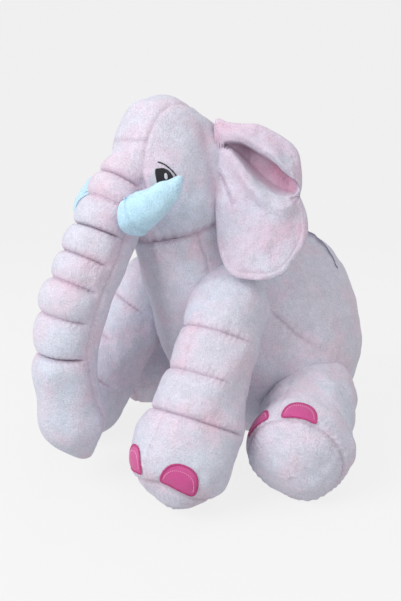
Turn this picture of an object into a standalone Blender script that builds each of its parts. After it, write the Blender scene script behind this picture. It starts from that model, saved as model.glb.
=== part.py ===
"""A sitting plush elephant: fabric panels over stuffing, in metres, +Z up, facing -Y, +X is its own left."""

import math

import bmesh
import bpy
from mathutils import Matrix, Vector

# Driving sizes, in metres and degrees ---------------------------------------------------------------

FABRIC = 0.0025           # plush fabric with its backing
SEAM_GAP = 0.0008         # kept between panels that are sewn edge to edge
STUFFING_GAP = 0.0012     # kept between a panel and the stuffing behind it
POLE_HOLE = 0.03          # where panels stop short of a round end, in sections
MOTION_GAP = 0.0028       # kept round a limb over its whole swing

TORSO_LENGTH = 0.300      # neck to rump
TORSO_HALF_WIDTH = 0.152
TORSO_HALF_DEPTH = 0.172
BELLY_GUSSET_WIDTH = 0.120

NECK = Vector((0.0, -0.050, 0.335))   # the middle of the neck, where the head turns and nods
NECK_AXIS = Vector((0.0, -0.342, 0.940))
NECK_HALF_WIDTH = 0.074
NECK_BALL = 0.050
NECK_RIM = 0.013          # half the open ring between the head and the torso

HEAD_HALF_WIDTH = 0.077
HEAD_HALF_DEPTH = 0.087
HEAD_HEIGHT = 0.168       # neck to crown
CROWN_GUSSET_WIDTH = 0.036

TRUNK_RADIUS = 0.041
TRUNK_BALL = 0.028
TRUNK_BEND = 12.0         # each of the three bends, up and down
TRUNK_RIM = 0.0056        # half the open ring between two lengths of the trunk
UNDER_GUSSET_WIDTH = 0.062

EAR_REACH = 0.116         # root to outer edge
EAR_HEIGHT = 0.196
EAR_BATTING = 0.005
EAR_TURN = 40.0           # turned back from straight out sideways
EAR_FORWARD = 13.0        # the flap's two limits
EAR_BACK = 4.0

TUSK_LENGTH = 0.100
TUSK_RADIUS = 0.023

FRONT_LEG_RADIUS = 0.053
FRONT_FOOT_RADIUS = 0.065
FRONT_SOLE_BULGE = 0.056
HIND_LEG_RADIUS = 0.062
HIND_FOOT_RADIUS = 0.067
HIND_SOLE_BULGE = 0.054
SHOULDER = Vector((0.086, -0.028, 0.256))
HIP = Vector((0.112, 0.112, 0.098))
FRONT_FEET = {"left": Vector((0.126, -0.143, 0.062)), "right": Vector((-0.130, -0.163, 0.062))}
HIND_FEET = {"left": Vector((0.196, -0.008, 0.064)), "right": Vector((-0.196, -0.008, 0.064))}

NAIL_WIDTH = 0.036
NAIL_HEIGHT = 0.019
NAIL_THICKNESS = 0.0010
FRONT_NAILS = ((127.0, 189.0), 6.78)   # angles round the leg, and how far along its sections
HIND_NAILS = ((168.0, 222.0), 6.30)

EYE_HEIGHT = 0.021
EYE_LENGTH = 0.022
EYE_GLINT = 0.006
EYE_THICKNESS = 0.0010
EYE_S = 1.90              # how far up the head's sections
EYE_PHI = 47.0            # where the eye starts, round from the face

FRONT_SOLE_ROWS = 0.75    # how far the sole reaches up the leg's sections
HIND_SOLE_ROWS = 1.20
SKIN_START = 1.2          # where the leg's fabric starts, in its sections

FRONT_SWING = (3.0, -2.0, -6.0, -11.0)    # steps through each limb's range, for the room cut for it
HIND_SWING = (-2.0, 10.0, 22.0)
HIDDEN_SECTIONS = 5.0     # how much of a leg can enter the torso's room, in its sections

TAIL_LENGTH = 0.090
TAIL_TUFT = 0.012
TAIL_RADIUS = 0.009

SIDES = {"left": 1.0, "right": -1.0}
X_AXIS = Vector((1.0, 0.0, 0.0))
Y_AXIS = Vector((0.0, 1.0, 0.0))
Z_AXIS = Vector((0.0, 0.0, 1.0))

# Materials: colour, roughness -----------------------------------------------------------------------

FINISHES = {
    "plush": ((0.73, 0.66, 0.76), 0.95),
    "ear_lining": ((0.62, 0.50, 0.60), 0.95),
    "tusk_plush": ((0.85, 0.93, 1.00), 0.90),
    "nail_satin": ((0.66, 0.09, 0.32), 0.55),
    "eye_thread": ((0.015, 0.015, 0.02), 0.45),
    "glint_thread": ((0.85, 0.87, 0.90), 0.50),
    "fibre": ((0.88, 0.88, 0.87), 1.00),
}


def clearScene():
    for thing in list(bpy.data.objects):
        bpy.data.objects.remove(thing, do_unlink=True)


def makeMaterial(name):
    """Return the finish called name, made on first use."""
    if name in bpy.data.materials:
        return bpy.data.materials[name]
    colour, roughness = FINISHES[name]
    material = bpy.data.materials.new(name)
    material.use_nodes = True
    shader = material.node_tree.nodes["Principled BSDF"]
    shader.inputs["Base Color"].default_value = (*colour, 1.0)
    shader.inputs["Roughness"].default_value = roughness
    shader.inputs["Metallic"].default_value = 0.0
    return material


# Bodies: an empty on each joint's pivot carries the pieces that move with it -------------------------

def makeBody(name, pivot, parent=None):
    empty = bpy.data.objects.new(name, None)
    bpy.context.collection.objects.link(empty)
    empty.parent = parent
    base = parent.matrix_world.translation if parent else Vector((0.0, 0.0, 0.0))
    empty.location = pivot - base
    bpy.context.view_layer.update()
    return empty


def tidy(bm):
    """Merge what coincides, cut every face into triangles and turn them all outwards."""
    bmesh.ops.remove_doubles(bm, verts=bm.verts, dist=1e-6)
    bmesh.ops.dissolve_degenerate(bm, dist=1e-6, edges=bm.edges)
    bmesh.ops.triangulate(bm, faces=bm.faces)
    bmesh.ops.recalc_face_normals(bm, faces=bm.faces)
    if bm.calc_volume(signed=True) < 0.0:
        bmesh.ops.reverse_faces(bm, faces=bm.faces)


def makePiece(name, body, bm, finish):
    """Turn a bmesh in world coordinates into an object that rides on body, and return it."""
    tidy(bm)
    bmesh.ops.translate(bm, verts=bm.verts, vec=-body.matrix_world.translation)
    mesh = bpy.data.meshes.new(name)
    bm.to_mesh(mesh)
    bm.free()
    mesh.shade_smooth()
    mesh.set_sharp_from_angle(angle=math.radians(50.0))
    mesh.materials.append(makeMaterial(finish))
    piece = bpy.data.objects.new(name, mesh)
    bpy.context.collection.objects.link(piece)
    piece.parent = body
    return piece


def makeCutter(name, bm):
    """Turn a bmesh in world coordinates into a hidden cutter."""
    tidy(bm)
    mesh = bpy.data.meshes.new(name)
    bm.to_mesh(mesh)
    bm.free()
    cutter = bpy.data.objects.new(name, mesh)
    bpy.context.collection.objects.link(cutter)
    cutter.hide_render = True
    cutter.display_type = "WIRE"
    return cutter


def cut(piece, cutter):
    tool = piece.modifiers.new(f"room_{cutter.name}", "BOOLEAN")
    tool.operation = "DIFFERENCE"
    tool.solver = "EXACT"
    tool.object = cutter


# Surfaces ---------------------------------------------------------------------------------------------

def catmullRom(a, b, c, d, t):
    """Blend from b to c; works on numbers and on vectors."""
    return 0.5 * (2.0 * b + (c - a) * t + (2.0 * a - 5.0 * b + 4.0 * c - d) * t * t
                  + (3.0 * b - a - 3.0 * c + d) * t * t * t)


class Tube:
    """A soft tube: elliptical sections strung along a spine, stretched over by a smooth surface.

    A station is (centre, half width, half depth). The width lies along side, the depth across it, and
    phi runs from 0 on the front of the tube through 90 degrees on its side. A round end closes in a pole.
    """

    def __init__(self, stations, side, roundStart=False, roundEnd=False, startAlong=None, endAlong=None):
        self.side = side
        self.startAlong = startAlong
        self.endAlong = endAlong
        self.count = len(stations)
        first, second = stations[0], stations[1]
        last, previous = stations[-1], stations[-2]
        before = [first[0] * 2.0 - second[0], 2.0 * first[1] - second[1], 2.0 * first[2] - second[2]]
        after = [last[0] * 2.0 - previous[0], 2.0 * last[1] - previous[1], 2.0 * last[2] - previous[2]]
        if roundStart:
            before = [second[0], -second[1], -second[2]]
        if roundEnd:
            after = [previous[0], -previous[1], -previous[2]]
        self.stations = [before, *stations, after]

    def section(self, s):
        s = min(max(s, 0.0), self.count - 1.0)
        low = min(int(s), self.count - 2)
        four = self.stations[low:low + 4]
        return [catmullRom(four[0][k], four[1][k], four[2][k], four[3][k], s - low) for k in range(3)]

    def frame(self, s):
        """Return the tube's direction, side and front at s."""
        step = 0.02
        ahead = self.section(min(s + step, self.count - 1.0))[0]
        behind = self.section(max(s - step, 0.0))[0]
        along = (ahead - behind).normalized()
        if self.startAlong and s < 1.0:
            along = self.startAlong.lerp(along, s).normalized()
        if self.endAlong and s > self.count - 2.0:
            along = along.lerp(self.endAlong, s - self.count + 2.0).normalized()
        side = (self.side - along * self.side.dot(along)).normalized()
        return along, side, side.cross(along).normalized()

    def raw(self, s, phi):
        centre, width, depth = self.section(s)
        _, side, front = self.frame(s)
        return centre + side * (width * math.sin(phi)) + front * (depth * math.cos(phi))

    def normal(self, s, phi):
        s = min(max(s, 0.03), self.count - 1.03)
        along = self.raw(s + 0.02, phi) - self.raw(s - 0.02, phi)
        around = self.raw(s, phi + 0.02) - self.raw(s, phi - 0.02)
        normal = along.cross(around).normalized()
        return normal if normal.dot(self.raw(s, phi) - self.section(s)[0]) > 0.0 else -normal

    def point(self, s, phi, inset=0.0):
        """Return the surface point at s and phi, inset towards the inside and kept above the floor."""
        if abs(self.section(s)[1]) < 1e-5:
            inwards = self.frame(s)[0] * (1.0 if s < 1.0 else -1.0)
            place = self.section(s)[0] + inwards * inset
        else:
            place = self.raw(s, phi) - self.normal(s, phi) * inset
        place.z = max(place.z, inset)
        return place


def spread(low, high, count):
    return [low + (high - low) * k / (count - 1) for k in range(count)]


def skinRings(bm, rings, closed):
    """Join rings of vertices with quads."""
    for ring, following in zip(rings, rings[1:]):
        count = len(ring)
        for k in range(count if closed else count - 1):
            n = (k + 1) % count
            bm.faces.new((ring[k], ring[n], following[n], following[k]))


def closedTube(tube, rows, columns, inset):
    """Return the closed solid of a tube, with a ring at each of rows and a corner at each of columns(s)."""
    bm = bmesh.new()
    loops = [[bm.verts.new(tube.point(s, phi, inset)) for phi in columns(s)] for s in rows]
    skinRings(bm, loops, True)
    bm.faces.new(loops[0])
    bm.faces.new(list(reversed(loops[-1])))
    bmesh.ops.remove_doubles(bm, verts=bm.verts, dist=1e-5)
    flat = [face for face in bm.faces if len(face.verts) > 4]
    bmesh.ops.triangulate(bm, faces=flat)
    return bm


def evenColumns(sides):
    return lambda s: [math.tau * k / sides for k in range(sides)]


def sewnColumns(edge, narrow, wide):
    """Return the corners of a ring: narrow of them on the strip within +-edge(s), wide on half the rest."""
    def columns(s):
        half = edge(s)
        strip = spread(-half, half, narrow)
        panels = spread(half, math.tau - half, int(2 * wide) - 1)
        return strip + panels[1:-1]
    return columns


def shell(outer, inner):
    """Return the closed solid between two grids of points, rim included."""
    bm = bmesh.new()
    grids = []
    for grid in (outer, inner):
        grids.append([[bm.verts.new(point) for point in row] for row in grid])
        skinRings(bm, grids[-1], False)
    top, under = grids
    for row in (0, -1):
        skinRings(bm, [top[row], under[row]], False)
    for column in (0, -1):
        skinRings(bm, [[row[column] for row in top], [row[column] for row in under]], False)
    return bm


def cap(tube, rows, sides, thickness=FABRIC):
    """Return a fabric cup over the round end of a tube."""
    bm = bmesh.new()
    angles = evenColumns(sides)(0.0)
    grids = []
    for inset in (0.0, thickness):
        grids.append([[bm.verts.new(tube.point(s, phi, inset)) for phi in angles] for s in rows])
        skinRings(bm, grids[-1], True)
    skinRings(bm, [grids[0][0], grids[1][0]], True)
    return bm


def patch(tube, middle, length, centrePhi, width, skew, thickness):
    """Return a thin raised patch with a straight lower edge and a domed upper edge."""
    lift = thickness + STUFFING_GAP
    outer, inner = [], []
    radius = tube.section(middle)[1]
    perStep = (tube.section(middle + 0.5)[0] - tube.section(middle - 0.5)[0]).length
    for share in spread(0.0, 1.0, 5):
        half = width / 2.0 * math.sqrt(max(1.0 - (0.97 * share) ** 2.4, 0.02)) / radius
        s = middle + skew * (share - 0.5) * length / perStep
        angles = spread(centrePhi - half, centrePhi + half, 5)
        outer.append([tube.point(s, phi, -lift) for phi in angles])
        inner.append([tube.point(s, phi, thickness - lift) for phi in angles])
    return shell(outer, inner)


def panel(tube, rows, fromPhi, toPhi, columns):
    """Return a fabric panel on a tube between two seams, each seam an angle or a function of s."""
    outer, inner = [], []
    for s in rows:
        low = fromPhi(s) if callable(fromPhi) else fromPhi
        high = toPhi(s) if callable(toPhi) else toPhi
        _, width, depth = tube.section(s)
        ease = SEAM_GAP / 2.0 / max(min(abs(width), abs(depth)), 0.004)
        angles = spread(low, high, columns)
        angles[0] += ease
        angles[-1] -= ease
        outer.append([tube.point(s, phi, 0.0) for phi in angles])
        inner.append([tube.point(s, phi, FABRIC) for phi in angles])
    return shell(outer, inner)


def motionRoom(name, tube, end, pivot, axis, angles):
    """Return one convex cutter that covers a limb over its whole swing, with the motion gap round it."""
    whole = bmesh.new()
    for angle in angles:
        turn = Matrix.Rotation(math.radians(angle), 4, axis)
        place = Matrix.Translation(pivot) @ turn @ Matrix.Translation(-pivot)
        for s in spread(0.0, end, 9):
            for k in range(12):
                whole.verts.new(place @ tube.point(s, math.tau * (k + 0.4) / 12, -MOTION_GAP))
    bmesh.ops.remove_doubles(whole, verts=whole.verts, dist=1e-4)
    hull = bmesh.ops.convex_hull(whole, input=whole.verts)
    inside = set(hull["geom_interior"]) | set(hull["geom_unused"])
    bmesh.ops.delete(whole, geom=[item for item in inside if isinstance(item, bmesh.types.BMVert)],
                     context="VERTS")
    return makeCutter(f"{name}_room", whole)


# Shapes -----------------------------------------------------------------------------------------------

def torsoTube():
    """Rump to neck; phi is 0 under the belly."""
    outline = [  # shares of the length back from the neck, of the half depth up, of both half sizes
        (1.00, 0.84, 0.00, 0.00), (0.91, 0.84, 0.62, 0.60), (0.73, 0.86, 0.91, 0.92),
        (0.50, 0.96, 1.00, 0.99), (0.29, 1.21, 0.87, 0.80), (0.14, 1.51, 0.66, 0.58)]
    stations = []
    for back, up, width, depth in outline:
        centre = Vector((0.0, NECK.y + back * TORSO_LENGTH, up * TORSO_HALF_DEPTH))
        stations.append((centre, width * TORSO_HALF_WIDTH, depth * TORSO_HALF_DEPTH))
    stations.append((NECK - NECK_AXIS * NECK_RIM, NECK_HALF_WIDTH, NECK_HALF_WIDTH))
    return Tube(stations, X_AXIS, roundStart=True, endAlong=NECK_AXIS)


def headTube():
    """Neck to crown; phi is 0 on the face."""
    outline = [  # shares of the height up from the neck, forward in half depths, of both half sizes
        (0.28, 0.12, 1.00, 0.94), (0.50, 0.22, 1.00, 1.02), (0.72, 0.22, 0.87, 0.91),
        (0.92, 0.12, 0.55, 0.60), (1.00, 0.05, 0.00, 0.00)]
    stations = [(NECK + NECK_AXIS * NECK_RIM, NECK_HALF_WIDTH, NECK_HALF_WIDTH)]
    for up, forward, width, depth in outline:
        centre = NECK + Z_AXIS * (up * HEAD_HEIGHT) - Y_AXIS * (forward * HEAD_HALF_DEPTH)
        stations.append((centre, width * HEAD_HALF_WIDTH, depth * HEAD_HALF_DEPTH))
    return Tube(stations, X_AXIS, roundEnd=True, startAlong=NECK_AXIS)


TRUNK_LINE = [Vector((0.0, y, z)) for y, z in (
    (-0.140, 0.398), (-0.163, 0.364), (-0.185, 0.320), (-0.206, 0.281), (-0.222, 0.247),
    (-0.234, 0.203), (-0.238, 0.165), (-0.236, 0.130), (-0.228, 0.085), (-0.219, 0.040))]
TRUNK_SHARES = (0.86, 0.96, 1.03, 1.01, 1.04, 0.97, 0.94, 0.92, 0.96, 0.00)
TRUNK_BENDS = {"trunk_base": 0.0, "trunk_middle": 3.5, "trunk_tip": 6.5}


def trunkTube():
    """Face to tip; phi is 0 on the under side."""
    stations = []
    for centre, share in zip(TRUNK_LINE, TRUNK_SHARES):
        stations.append((centre, share * TRUNK_RADIUS, share * TRUNK_RADIUS))
    return Tube(stations, X_AXIS, roundEnd=True)


def legTube(root, foot, legRadius, footRadius, bulge):
    """Root to sole; phi is 180 degrees on the front of a front leg and on the top of a hind leg."""
    line = foot - root
    sole = 1.0 + bulge / line.length
    outline = [  # shares of the line from root to foot, of the radius there
        (-0.16, 0.00, legRadius), (-0.10, 0.66, legRadius), (0.06, 0.96, legRadius),
        (0.30, 1.00, legRadius), (0.55, 1.02, legRadius), (0.78, 0.96, footRadius),
        (0.98, 1.00, footRadius), (0.4 + 0.6 * sole, 0.80, footRadius), (sole, 0.00, footRadius)]
    stations = []
    for share, swell, radius in outline:
        stations.append((root + line * share, swell * radius, swell * radius))
    return Tube(stations, X_AXIS, roundStart=True, roundEnd=True)


class Ear:
    """A padded sheet: s runs down the root line, phi out from the root, both from 0 to 1."""

    root = Vector((0.062, -0.036, 0.474))
    flare = 0.062         # how far the bottom stands out over the shoulder

    def __init__(self, hand):
        self.hand = hand
        turn = math.radians(EAR_TURN)
        self.out = Vector((math.cos(turn) * hand, math.sin(turn), 0.0))
        self.face = Vector((math.sin(turn) * hand, -math.cos(turn), 0.0))
        self.root = Vector((Ear.root.x * hand, Ear.root.y, Ear.root.z))

    def middle(self, s, phi):
        reach = EAR_REACH * (1.0 - abs(2.0 * s - 1.0) ** 5) ** 0.45
        tilt = 0.026 * phi * (1.0 - s) - 0.030 * phi * phi * (1.0 - 2.0 * s)
        lean = self.flare * s ** 1.6 + 0.012 * math.sin(math.pi * phi)
        return self.root + self.out * (reach * phi) - Z_AXIS * (EAR_HEIGHT * s - tilt) + self.face * lean

    def normal(self, s, phi):
        down = self.middle(min(s + 0.02, 1.0), phi) - self.middle(max(s - 0.02, 0.0), phi)
        across = self.middle(s, min(phi + 0.02, 1.0)) - self.middle(s, max(phi - 0.02, 0.0))
        normal = down.cross(across).normalized()
        return normal if normal.dot(self.face) > 0.0 else -normal

    def layer(self, low, high, rows=8, columns=6):
        """Return the closed layer between two heights above the middle of the ear."""
        outer, inner = [], []
        for s in spread(0.01, 0.99, rows):
            across = spread(0.0, 1.0, columns)
            outer.append([self.middle(s, phi) + self.normal(s, phi) * high for phi in across])
            inner.append([self.middle(s, phi) + self.normal(s, phi) * low for phi in across])
        return shell(outer, inner)


def tuskTube(hand):
    """Cheek to point; curves up and outwards."""
    root = Vector((0.050 * hand, -0.166, 0.364))
    outline = [  # shares of the length out, forward and up, and of the radius
        (0.00, 0.00, 0.00, 0.86), (0.28, -0.06, 0.04, 0.93), (0.43, -0.20, 0.16, 0.80),
        (0.50, -0.33, 0.32, 0.52), (0.52, -0.42, 0.47, 0.00)]
    stations = []
    for out, forward, up, swell in outline:
        centre = root + Vector((out * hand, -forward, up)) * TUSK_LENGTH
        stations.append((centre, swell * TUSK_RADIUS, swell * TUSK_RADIUS))
    return Tube(stations, Y_AXIS, roundEnd=True)


def tailTube():
    root = Vector((0.0, NECK.y + TORSO_LENGTH + 0.006, 0.150))
    outline = [  # shares of the length back and up, of the radius
        (0.00, 0.00, 0.80), (0.09, -0.20, 1.00), (0.12, -0.55, 0.95), (0.10, -0.80, 0.85)]
    stations = []
    for back, up, swell in outline:
        centre = root + Vector((0.0, back, up)) * TAIL_LENGTH
        stations.append((centre, swell * TAIL_RADIUS, swell * TAIL_RADIUS))
    return Tube(stations, X_AXIS)


def earRoom(name, ear):
    """Return a convex cutter round the ear's root over its whole flap."""
    whole = bmesh.new()
    height = EAR_BATTING / 2.0 + STUFFING_GAP + FABRIC + MOTION_GAP
    for angle in (EAR_BACK, -EAR_FORWARD / 2.0, -EAR_FORWARD):
        turn = Matrix.Rotation(math.radians(angle) * ear.hand, 4, Z_AXIS)
        place = Matrix.Translation(ear.root) @ turn @ Matrix.Translation(-ear.root)
        for s in spread(0.0, 0.66, 7):
            for side in (-height, height):
                for phi in (-0.03, 0.26):
                    whole.verts.new(place @ (ear.middle(s, phi) + ear.normal(max(s, 0.02), 0.0) * side))
    hull = bmesh.ops.convex_hull(whole, input=whole.verts)
    inside = set(hull["geom_interior"]) | set(hull["geom_unused"])
    bmesh.ops.delete(whole, geom=[item for item in inside if isinstance(item, bmesh.types.BMVert)],
                     context="VERTS")
    return makeCutter(name, whole)


# Assembly ---------------------------------------------------------------------------------------------

def halfAngle(tube, width):
    """Return the angle that half of a gusset's width takes at s."""
    return lambda s: width / 2.0 / max(tube.section(s)[1], width / 2.0)


def buildTorso(torso, rooms):
    tube = torsoTube()
    last = tube.count - 1.0
    edge = halfAngle(tube, BELLY_GUSSET_WIDTH)
    rows = [POLE_HOLE, 0.2, 0.45] + spread(0.9, last, 11)
    left = panel(tube, rows, edge, math.pi, 8)
    right = panel(tube, rows, lambda s: -math.pi, lambda s: -edge(s), 8)
    wad = closedTube(tube, [0.0] + rows, sewnColumns(edge, 4, 8), FABRIC + STUFFING_GAP)
    pieces = [
        makePiece("body_panel_left", torso, left, "plush"),
        makePiece("body_panel_right", torso, right, "plush"),
        makePiece("belly_gusset", torso, panel(tube, rows[2:], lambda s: -edge(s), edge, 4), "plush"),
        makePiece("body_stuffing", torso, wad, "fibre")]
    for piece in pieces:
        for room in rooms:
            cut(piece, room)
    cut(pieces[-1], makeCutter("neck_socket_below", ball(NECK, NECK_BALL + MOTION_GAP)))


def ball(centre, radius):
    bm = bmesh.new()
    bmesh.ops.create_uvsphere(bm, u_segments=14, v_segments=9, radius=radius)
    bmesh.ops.translate(bm, verts=bm.verts, vec=centre)
    return bm


def buildNeck(neck):
    makePiece("neck_stuffing", neck, ball(NECK, NECK_BALL), "fibre")


def buildHead(head, rooms):
    tube = headTube()
    last = tube.count - 1.0
    edge = halfAngle(tube, CROWN_GUSSET_WIDTH)
    rows = [0.0, 0.5, 1.0, 1.5, 2.0, 2.5, 3.0, 3.5, 4.0, 4.5, 4.8, last - POLE_HOLE]
    wad = closedTube(tube, rows + [last], sewnColumns(edge, 4, 8), FABRIC + STUFFING_GAP)
    pieces = [
        makePiece("head_panel_left", head, panel(tube, rows, edge, math.pi, 8), "plush"),
        makePiece("head_panel_right", head, panel(tube, rows, -math.pi, lambda s: -edge(s), 8), "plush"),
        makePiece("crown_gusset", head, panel(tube, rows[4:-1], lambda s: -edge(s), edge, 4), "plush"),
        makePiece("chin_panel", head, panel(tube, rows[:3], lambda s: -edge(s), edge, 4), "plush"),
        makePiece("head_stuffing", head, wad, "fibre")]
    for piece in pieces:
        for room in rooms:
            cut(piece, room)
    cut(pieces[-1], makeCutter("neck_socket_above", ball(NECK, NECK_BALL + MOTION_GAP)))


def buildTrunk(bodies, rooms):
    """Three lengths: each has a ribbed top panel, an under gusset and stuffing that turns on a ball."""
    tube = trunkTube()
    last = tube.count - 1.0
    edge = halfAngle(tube, UNDER_GUSSET_WIDTH)
    names = list(TRUNK_BENDS)
    starts = list(TRUNK_BENDS.values())
    for number, name in enumerate(names):
        body = bodies[name]
        low = starts[number] + rimStep(tube, starts[number]) if number else 0.35
        high = starts[number + 1] - rimStep(tube, starts[number + 1]) if number < 2 else last
        rows = spread(low, high, 7)
        if number == 2:
            rows = spread(low, last - 0.5, 6) + [last - 0.15, last]
        ribbed = panel(tube, rows, edge, lambda s: math.tau - edge(s), 10)
        gusset = panel(tube, rows, lambda s: -edge(s), edge, 4)
        wadRows = rows if number else [0.0] + rows
        wad = closedTube(tube, wadRows, sewnColumns(edge, 4, 5.5), FABRIC + STUFFING_GAP)
        pieces = [
            makePiece(f"{name}_stuffing", body, wad, "fibre"),
            makePiece(f"{name}_ribbed_panel", body, ribbed, "plush"),
            makePiece(f"{name}_under_gusset", body, gusset, "plush")]
        if number == 0:
            for piece in pieces:
                for room in rooms:
                    cut(piece, room)
        if number < 2:
            socket = ball(tube.section(starts[number + 1])[0], TRUNK_BALL + MOTION_GAP)
            cut(pieces[0], makeCutter(f"{name}_socket", socket))
        if number:
            union = pieces[0].modifiers.new("ball", "BOOLEAN")
            union.operation = "UNION"
            union.solver = "EXACT"
            union.object = makeCutter(f"{name}_ball", ball(tube.section(starts[number])[0], TRUNK_BALL))


def rimStep(tube, s):
    """Return half the open ring at a bend, in the tube's own steps."""
    return TRUNK_RIM / (tube.section(s + 0.5)[0] - tube.section(s - 0.5)[0]).length


def buildEar(side, body):
    ear = Ear(SIDES[side])
    half = EAR_BATTING / 2.0
    near = half + STUFFING_GAP
    makePiece(f"ear_front_panel_{side}", body, ear.layer(near, near + FABRIC), "ear_lining")
    makePiece(f"ear_batting_{side}", body, ear.layer(-half, half), "fibre")
    makePiece(f"ear_back_panel_{side}", body, ear.layer(-near - FABRIC, -near), "plush")


def buildTusk(side, body):
    tube = tuskTube(SIDES[side])
    last = tube.count - 1.0
    rows = spread(0.0, last, 8)
    makePiece(f"tusk_skin_{side}", body, cap(tube, rows, 12), "tusk_plush")
    wad = closedTube(tube, rows, evenColumns(12), FABRIC + STUFFING_GAP)
    makePiece(f"tusk_stuffing_{side}", body, wad, "fibre")


def buildLeg(name, body, tube, hand, soleReach, nailPhis, nailS):
    """A leg has an outer and an inner panel, a sole, stuffing and two nails beside its front seam."""
    last = tube.count - 1.0
    sole = last - soleReach
    seam = SEAM_GAP / (tube.section(sole + 0.5)[0] - tube.section(sole)[0]).length * 0.5
    panelRows = spread(SKIN_START, sole, 8)
    soleRows = [sole + seam] + spread(sole + soleReach / 4.0, last, 4)
    for label, sign in (("outer", hand), ("inner", -hand)):
        low, high = sorted((0.0, math.pi * sign))
        makePiece(f"{name}_{label}_panel", body, panel(tube, panelRows, low, high, 8), "plush")
    makePiece(f"{name}_sole", body, cap(tube, soleRows, 14), "plush")
    wadRows = [0.0, 0.4, 0.8] + panelRows + soleRows[1:]
    wad = closedTube(tube, wadRows, evenColumns(14), FABRIC + STUFFING_GAP)
    makePiece(f"{name}_stuffing", body, wad, "fibre")
    for number, degrees in enumerate(nailPhis):
        centre = math.radians(degrees) * hand
        makePiece(f"{name}_nail_{number + 1}", body,
                  patch(tube, nailS, NAIL_HEIGHT, centre, NAIL_WIDTH, -1.0, NAIL_THICKNESS), "nail_satin")


def eyePatch(tube, hand, length, height, ahead, lift, thickness):
    """Return a thin patch on the head's side, straight at the front and round at the back."""
    outer, inner = [], []
    radius = tube.section(EYE_S)[1]
    perStep = (tube.section(EYE_S + 0.5)[0] - tube.section(EYE_S - 0.5)[0]).length
    for share in spread(0.0, 1.0, 5):
        half = height / 2.0 * math.sqrt(max(1.0 - (0.97 * share) ** 2.4, 0.02)) / perStep
        phi = (math.radians(EYE_PHI) + (ahead + length * share) / radius) * hand
        rows = spread(EYE_S - half, EYE_S + half, 5)
        outer.append([tube.point(s, phi, -lift - thickness) for s in rows])
        inner.append([tube.point(s, phi, -lift) for s in rows])
    return shell(outer, inner)


def buildEye(side, body, tube):
    """An embroidered iris with a small glint stitched over it."""
    hand = SIDES[side]
    iris = eyePatch(tube, hand, EYE_LENGTH, EYE_HEIGHT, 0.0, STUFFING_GAP, EYE_THICKNESS)
    makePiece(f"eye_iris_{side}", body, iris, "eye_thread")
    over = STUFFING_GAP * 2.0 + EYE_THICKNESS
    glint = eyePatch(tube, hand, EYE_GLINT * 0.6, EYE_GLINT, EYE_LENGTH * 0.40, over, EYE_THICKNESS)
    makePiece(f"eye_glint_{side}", body, glint, "glint_thread")


def buildTail(body, tube):
    last = tube.count - 1.0
    makePiece("tail_skin", body, closedTube(tube, spread(0.0, last - 0.3, 6), evenColumns(8), 0.0), "plush")
    tuft = bmesh.new()
    bmesh.ops.create_icosphere(tuft, subdivisions=1, radius=TAIL_TUFT)
    low = tube.section(last)[0] - Z_AXIS * TAIL_TUFT
    bmesh.ops.translate(tuft, verts=tuft.verts, vec=low)
    makePiece("tail_tuft", body, tuft, "plush")


def main():
    clearScene()
    trunk = trunkTube()
    torso = makeBody("torso", Vector((0.0, 0.0, 0.0)))
    neck = makeBody("neck", NECK, torso)
    head = makeBody("head", NECK, neck)
    trunkBodies = {}
    parent = head
    for name, s in TRUNK_BENDS.items():
        parent = makeBody(name, trunk.section(s)[0], parent)
        trunkBodies[name] = parent
    ears = {}
    legs = {}
    rooms = []
    for side, hand in SIDES.items():
        ears[side] = makeBody(f"ear_{side}", Ear(hand).root, head)
        shoulder = Vector((SHOULDER.x * hand, SHOULDER.y, SHOULDER.z))
        hip = Vector((HIP.x * hand, HIP.y, HIP.z))
        front = legTube(shoulder, FRONT_FEET[side], FRONT_LEG_RADIUS, FRONT_FOOT_RADIUS, FRONT_SOLE_BULGE)
        hind = legTube(hip, HIND_FEET[side], HIND_LEG_RADIUS, HIND_FOOT_RADIUS, HIND_SOLE_BULGE)
        rooms.append(motionRoom(f"front_leg_{side}", front, HIDDEN_SECTIONS, shoulder, X_AXIS, FRONT_SWING))
        line = HIND_FEET[side] - hip
        lift = Vector((line.y, -line.x, 0.0)).normalized()
        rooms.append(motionRoom(f"hind_leg_{side}", hind, HIDDEN_SECTIONS, hip, lift, HIND_SWING))
        legs[f"front_leg_{side}"] = (makeBody(f"front_leg_{side}", shoulder, torso), front, hand)
        legs[f"hind_leg_{side}"] = (makeBody(f"hind_leg_{side}", hip, torso), hind, hand)
    tail = tailTube()
    tailRoot = tail.section(0.0)[0]
    buildTail(makeBody("tail", tailRoot, torso), tail)
    buildTorso(torso, rooms)
    buildNeck(neck)
    trunkRoot = trunk.section(0.0)[0]
    bends = (-TRUNK_BEND, 0.0, TRUNK_BEND)
    headRooms = [motionRoom("trunk", trunk, 1.3, trunkRoot, X_AXIS, bends)]
    trunkRooms = []
    for side, hand in SIDES.items():
        tusk = tuskTube(hand)
        end = tusk.count - 1.0
        seat = closedTube(tusk, spread(0.0, end, 8), evenColumns(12), -STUFFING_GAP)
        headRooms.append(makeCutter(f"tusk_{side}_room", seat))
        headRooms.append(earRoom(f"ear_{side}_room", Ear(hand)))
        trunkRooms.append(motionRoom(f"tusk_{side}_swing", tusk, end, trunkRoot, X_AXIS, bends))
    buildHead(head, headRooms)
    buildTrunk(trunkBodies, trunkRooms)
    for side, body in ears.items():
        buildEar(side, body)
        buildTusk(side, head)
        buildEye(side, head, headTube())
    for name, (body, tube, hand) in legs.items():
        soleReach, nails = FRONT_SOLE_ROWS, FRONT_NAILS
        if name.startswith("hind"):
            soleReach, nails = HIND_SOLE_ROWS, HIND_NAILS
        buildLeg(name, body, tube, hand, soleReach, *nails)


main()
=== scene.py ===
import math
import bmesh
import bpy
import numpy as np
from mathutils import Matrix, Vector


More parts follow.
